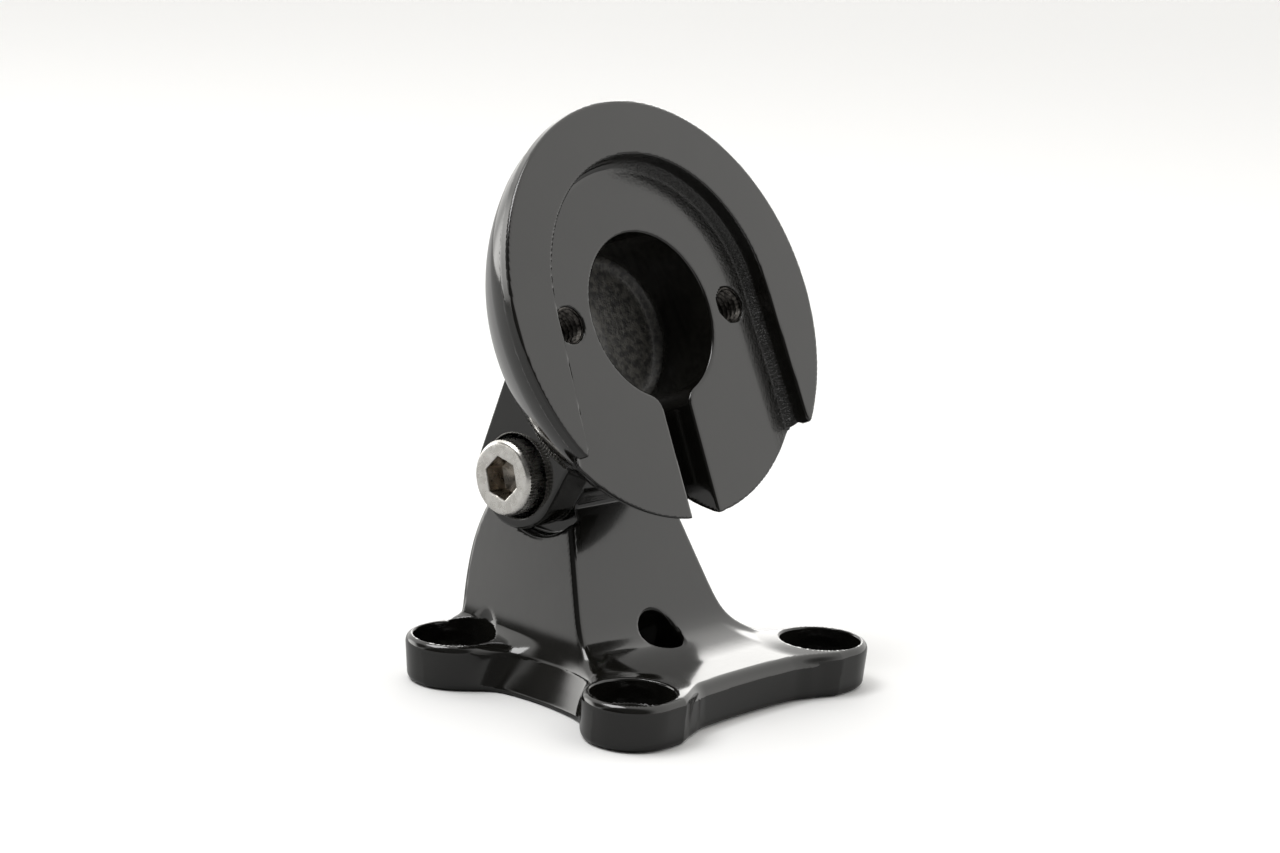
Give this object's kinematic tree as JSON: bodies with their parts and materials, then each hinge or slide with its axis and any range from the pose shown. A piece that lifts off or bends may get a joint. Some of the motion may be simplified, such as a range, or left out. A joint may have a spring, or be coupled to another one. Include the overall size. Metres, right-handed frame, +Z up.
{
  "type": "tilting pedestal mount",
  "caption": "Small cast pedestal mount: a lobed, counterbored base with a tower, and a round dished head that tilts on a clevis clamped by a socket cap screw.",
  "frame": {"origin": "centre of the base, in the plane of its underside", "axes": "+X along the pivot axis, the socket head of the screw at -X; -Y is the front, which the face looks towards and up from; +Z up"},
  "size_m": [0.056, 0.045, 0.0763],
  "materials": {
    "gloss_black_casting": "gloss black powder coat over an aluminium casting",
    "stainless": "bright turned stainless steel",
    "nylon": "natural nylon, matte"
  },
  "bodies": {
    "base": {"base_pedestal": "gloss_black_casting"},
    "head": {"dish_head": "gloss_black_casting", "pivot_screw": "stainless", "pivot_nut": "stainless", "nut_insert": "nylon", "friction_washer_left": "nylon", "friction_washer_right": "nylon"}
  },
  "joints": [
    {"name": "head_tilt", "type": "hinge", "parent": "base", "child": "head", "pos_m": [0, 0.0101, 0.028], "axis": [1, 0, 0], "range_deg": [-60, 24]}
  ]
}
